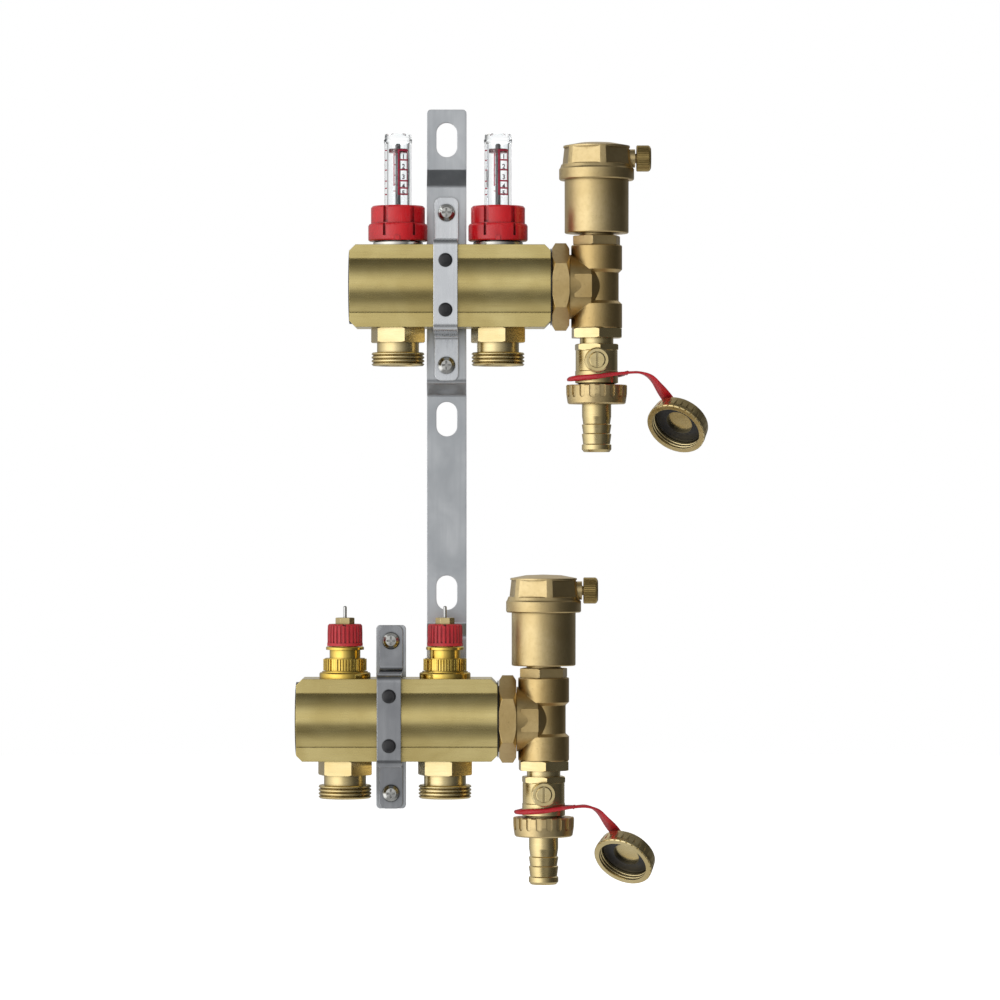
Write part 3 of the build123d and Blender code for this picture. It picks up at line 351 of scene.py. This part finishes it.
for number in (1, 2):
    low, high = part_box(f"indicator_rod_{number}")
    axis = ((low[0] + high[0]) / 2, (low[1] + high[1]) / 2)
    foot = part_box("supply_bar")[1][2]
    lines = bmesh.new()
    printed_bar(lines, 0.1, 0.85, SCALE_TICKS[-1] - 0.3, SCALE_TICKS[0] + 0.3)
    printed_bar(lines, 4.8, 5.3, SCALE_TICKS[-1] - 0.3, SCALE_TICKS[0] + 0.3)
    printed_bar(lines, -2.1, -1.6, SCALE_TICKS[-1] + 4.0, SCALE_TICKS[0] - 1.5)
    for tick in SCALE_TICKS:
        printed_bar(lines, 0.85, 5.6, tick - 0.4, tick + 0.4)
        printed_bar(lines, -8.4, -6.2, tick - 0.3, tick + 0.3)
    for upper, lower in zip(SCALE_TICKS, SCALE_TICKS[1:]):
        printed_bar(lines, -2.1, -0.9, (upper + lower) / 2 - 0.2, (upper + lower) / 2 + 0.2)
    wrapped(f"tube_scale_{number}", lines, axis, foot, CRIMSON)
    digits = bmesh.new()
    for value, rise in SCALE_NUMBERS:
        printed_number(digits, value, 2.1, rise - NUMBER_HIGH / 2)
    wrapped(f"tube_numbers_{number}", digits, axis, foot, GREY_PRINT)


# ---------------------------------------------------------------- red straps of the closing caps

def curved(stations, steps=6):
    """Rows of numbers along a smooth curve through the stations."""
    rows = []
    last = len(stations) - 1
    for span in range(last):
        before, start, end, after = (stations[min(max(span + k, 0), last)] for k in (-1, 0, 1, 2))
        for step in range(steps + (span == last - 1)):
            t = step / steps
            rows.append([
                b + 0.5 * t * (c - a + t * (2 * a - 5 * b + 4 * c - d + t * (3 * (b - c) + d - a)))
                for a, b, c, d in zip(before, start, end, after)
            ])
    return rows


def strand(shape, stations):
    """Sweeps a band with soft edges through rows of centre, width direction, width and thickness, in millimetres."""
    rows = curved(stations)
    rings = []
    for number, row in enumerate(rows):
        centre, across = Vector(row[0:3]), Vector(row[3:6])
        width, thick = row[6:8]
        travel = Vector(rows[min(number + 1, len(rows) - 1)][0:3]) - Vector(rows[max(number - 1, 0)][0:3])
        travel.normalize()
        across = (across - travel * across.dot(travel)).normalized()
        through = travel.cross(across)
        half, high, cut = width / 2, thick / 2, 0.3 * thick
        outline = [
            (-half, -high + cut), (-half + cut, -high), (half - cut, -high), (half, -high + cut),
            (half, high - cut), (half - cut, high), (-half + cut, high), (-half, high - cut),
        ]
        rings.append([shape.verts.new((centre + across * a + through * b) * MM) for a, b in outline])
    for first, second in zip(rings, rings[1:]):
        for side in range(8):
            after = (side + 1) % 8
            shape.faces.new((first[side], first[after], second[after], second[side]))
    shape.faces.new(rings[0][::-1])
    shape.faces.new(rings[-1])


CAP_OUT = Vector((-0.387, -0.663, -0.641)).normalized()       # the way a closing cap opens
CAP_BACK = Vector((39.3, -4.0, -71.2)) - CAP_OUT * 9.75       # middle of the eye, from the tee axis
TONGUE_RUN = Vector((-7.6, -4.2, 8.9))                        # from the eye up the tongue, roughly
RING_GAP = 0.8
BAND_THICK = 1.2
EYE_MIDDLE = 3.3
EYE_WIDTH = 2.2
FRONT_LOOP = [
    # centre above the hose nut, width direction, width and thickness
    (-13.6, 2.0, 1.7, 1.0, 0.0, 0.0, 2.4, 1.4),
    (-13.0, -4.0, 2.0, 1.0, 0.3, 0.0, 2.8, 2.2),
    (-9.2, -9.9, 2.4, 0.7, 0.8, 0.0, 3.0, 2.7),
    (-1.0, -13.6, 3.0, 0.0, 1.0, 0.0, 3.2, 2.5),
    (8.0, -12.4, 4.2, -0.2, 1.0, 0.0, 4.0, 1.8),
    (15.5, -10.4, 5.0, -0.2, 1.0, 0.0, 5.0, 1.3),
    (21.5, -9.2, 5.1, -0.15, 1.0, 0.05, 5.8, 1.2),
    (26.4, -8.3, 3.2, -0.3, 0.95, -0.05, 6.4, 1.2),
    (30.4, -7.2, -1.0, -0.45, 0.88, -0.12, 6.6, 1.2),
]
BACK_LOOP = [
    (-13.6, 2.0, 1.7, 1.0, 0.0, 0.0, 2.4, 1.4),
    (-9.6, 9.4, 2.2, 0.7, -0.7, 0.0, 2.4, 1.4),
    (0.0, 13.3, 3.0, 0.0, -1.0, 0.0, 2.4, 1.4),
    (9.6, 9.4, 3.8, -0.7, -0.7, 0.0, 2.4, 1.4),
    (13.3, 0.5, 4.5, -1.0, 0.0, 0.0, 2.4, 1.4),
    (13.0, -7.0, 4.7, -1.0, 0.3, 0.0, 2.4, 1.3),
    (15.2, -10.4, 4.9, -0.6, 0.8, 0.0, 2.4, 1.2),
]



def eye_stations(along, sideways):
    """The eye that holds a strap on its cap, as one closed turn of band."""
    turns = 12
    stations = []
    for step in range(turns + 1):
        turn = math.tau * step / turns
        spoke = along * math.cos(turn) + sideways * math.sin(turn)
        stations.append((*(CAP_BACK + spoke * EYE_MIDDLE), *spoke, EYE_WIDTH, BAND_THICK))
    return stations


def cap_strap(side, bar):
    """The whole strap of one closing cap: the loop round the drain valve, the tongue and the eye."""
    nut_low, nut_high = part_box(f"hose_nut_{side}")
    bar_low, bar_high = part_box(bar)
    tee = Vector([(nut_low[k] + nut_high[k]) / 2 for k in (0, 1)] + [(bar_low[2] + bar_high[2]) / 2])
    rise = (nut_high[2] - tee.z) / MM + RING_GAP
    along = (TONGUE_RUN - CAP_OUT * TONGUE_RUN.dot(CAP_OUT)).normalized()
    sideways = CAP_OUT.cross(along)
    front, back = ([(x, y, z + rise, *rest) for x, y, z, *rest in loop] for loop in (FRONT_LOOP, BACK_LOOP))
    # along the cap's back: distance from its middle, lift off it and width
    for reach, lift, width in ((14.7, 0.4, 6.6), (10.0, 0.0, 6.8), (3.0, 0.0, 6.2)):
        front.append((*(CAP_BACK + along * reach - CAP_OUT * lift), *sideways, width, BAND_THICK))
    shape = bmesh.new()
    for stations in (front, back, eye_stations(along, sideways)):
        strand(shape, stations)
    for vert in shape.verts:
        vert.co += tee
    band = added(f"cap_strap_{side}", shape, FINISHES["red_strap"])
    for face in band.data.polygons:
        face.use_smooth = True
    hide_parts(f"tether_strap_{side}")
    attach(band, f"cap_{side}")


cap_strap("upper", "supply_bar")
cap_strap("lower", "return_bar")


# ---------------------------------------------------------------- studio

def softbox(name, place, aim, size, power, tint=(1.0, 1.0, 1.0)):
    """A square area light of size metres at place, facing aim."""
    light = bpy.data.lights.new(name, "AREA")
    light.shape = "RECTANGLE"
    light.size, light.size_y = size
    light.energy = power
    light.color = tint
    box = bpy.data.objects.new(name, light)
    bpy.context.scene.collection.objects.link(box)
    box.location = place
    box.rotation_euler = (Vector(aim) - Vector(place)).to_track_quat("-Z", "Y").to_euler()
    box.visible_camera = False
    box.visible_glossy = False
    return box


MIDDLE = (0.03, -0.03, 0.0)
softbox("light_left", (-0.9, -0.9, 0.45), MIDDLE, (0.5, 1.1), 5.0)
softbox("light_right", (1.0, -0.7, 0.2), MIDDLE, (0.35, 1.0), 2.0)
softbox("light_top", (0.0, -0.35, 1.1), MIDDLE, (1.0, 0.7), 5.0)
softbox("light_back", (-0.2, 1.1, 0.7), MIDDLE, (1.2, 0.8), 2.0)

world = bpy.data.worlds.new("studio")
bpy.context.scene.world = world
world.use_nodes = True
sky, links = world.node_tree.nodes, world.node_tree.links


def sky_node(kind, inputs=(), **settings):
    """A world shader node with its settings, and its inputs set or linked."""
    node = sky.new("ShaderNode" + kind)
    for key, value in settings.items():
        setattr(node, key, value)
    for key, value in dict(inputs).items():
        if isinstance(value, bpy.types.NodeSocket):
            links.new(value, node.inputs[key])
        else:
            node.inputs[key].default_value = value
    return node


def bands(value, steps):
    """A grey for value from 0 to 1, by (place, brightness) steps."""
    ramp = sky_node("ValToRGB", {0: value})
    colours = ramp.color_ramp.elements
    while len(colours) < len(steps):
        colours.new(0.5)
    for element, (at, grey) in zip(colours, steps):
        element.position = at
        element.color = (grey, grey, grey, 1.0)
    return ramp.outputs[0]


# The studio as the metal reflects it. Turning about X: 0.5 is in front of the object, 0.75 overhead, 0.25 the floor.
UP_AND_DOWN = [
    (0.0, 0.45), (0.12, 0.6), (0.25, 0.6), (0.29, 0.62), (0.33, 0.6), (0.37, 0.36), (0.41, 0.2), (0.455, 0.24),
    (0.48, 0.55), (0.505, 0.8), (0.54, 0.84), (0.57, 0.72), (0.6, 0.5), (0.63, 0.3), (0.69, 0.14), (0.76, 0.1),
    (0.82, 0.3), (0.9, 0.7), (1.0, 0.45),
]
# Turning about Z: 0.5 is in front, 0.25 the left and 0.75 the right.
SIDE_TO_SIDE = [
    (0.0, 0.3), (0.1, 0.35), (0.19, 0.7), (0.26, 1.1), (0.33, 1.6), (0.39, 1.7), (0.44, 1.4), (0.48, 0.95),
    (0.52, 0.55), (0.56, 0.35), (0.64, 0.1), (0.8, 0.05), (0.88, 0.15), (1.0, 0.3),
]
way = sky_node("TexCoord").outputs["Generated"]
split = sky_node("SeparateXYZ", {0: way})
front = sky_node("Math", {0: split.outputs["Y"], 1: -1.0}, operation="MULTIPLY").outputs[0]
rise = sky_node("Math", {0: split.outputs["Z"], 1: front}, operation="ARCTAN2").outputs[0]
turn = sky_node("Math", {0: split.outputs["X"], 1: front}, operation="ARCTAN2").outputs[0]
shares = [
    sky_node("MapRange", {0: angle, 1: -math.pi, 2: math.pi}).outputs[0] for angle in (rise, turn)
]
aside = sky_node("Math", {0: split.outputs["X"]}, operation="ABSOLUTE").outputs[0]
upright = sky_node("Math", {0: split.outputs["Z"]}, operation="ABSOLUTE").outputs[0]
flat = sky_node("Math", {0: aside, 1: upright}, operation="SUBTRACT").outputs[0]
level = sky_node("MapRange", {0: flat, 1: -0.12, 2: 0.2}, interpolation_type="SMOOTHSTEP").outputs[0]
mixed = sky_node("Mix", {0: level, 6: bands(shares[0], UP_AND_DOWN), 7: bands(shares[1], SIDE_TO_SIDE)},
                 data_type="RGBA").outputs[2]
shade = sky["Background"]
links.new(mixed, shade.inputs["Color"])
seen = sky_node("Background", {"Color": (1.0, 1.0, 1.0, 1.0)})
path = sky_node("LightPath")
behind = sky_node("MapRange", {0: split.outputs["Y"], 1: 0.75, 2: 0.95}).outputs[0]
through = sky_node("Math", {0: path.outputs["Is Transmission Ray"], 1: behind}, operation="MULTIPLY").outputs[0]
either = sky_node("Math", {0: path.outputs["Is Camera Ray"], 1: through}, operation="MAXIMUM").outputs[0]
choice = sky_node("MixShader", {0: either, 1: shade.outputs[0], 2: seen.outputs[0]})
links.new(choice.outputs[0], sky["World Output"].inputs["Surface"])

FLOOR_LEVEL = -0.3
FLOOR_RADIUS = 3.0
paper = Paint("paper", Specular_IOR_Level=0.1, Emission_Color=(1.0, 1.0, 1.0, 1.0), Emission_Strength=0.7)
paper_tone = paper.noise(40, 4.0)
paper_finish = paper.done(
    paper.mix(paper.span(paper_tone, 0.3, 0.7), rgb(252, 252, 252), rgb(248, 248, 248)),
    paper.span(paper_tone, 0.3, 0.7, 0.85, 0.95),
)
disc = bmesh.new()
bmesh.ops.create_circle(disc, cap_ends=True, segments=96, radius=FLOOR_RADIUS)
floor = added("floor", disc, paper_finish)
floor.location = (0.0, 0.0, FLOOR_LEVEL)
floor.visible_glossy = False

camera = bpy.data.objects.new("camera", bpy.data.cameras.new("camera"))
bpy.context.scene.collection.objects.link(camera)
camera.location = (0.027, -2.2325, 0.0015)
camera.rotation_euler = (math.radians(90), 0.0, 0.0)
camera.data.sensor_width = 36.0
camera.data.lens = 158.4
bpy.context.scene.camera = camera
bpy.context.scene.view_settings.view_transform = "Standard"
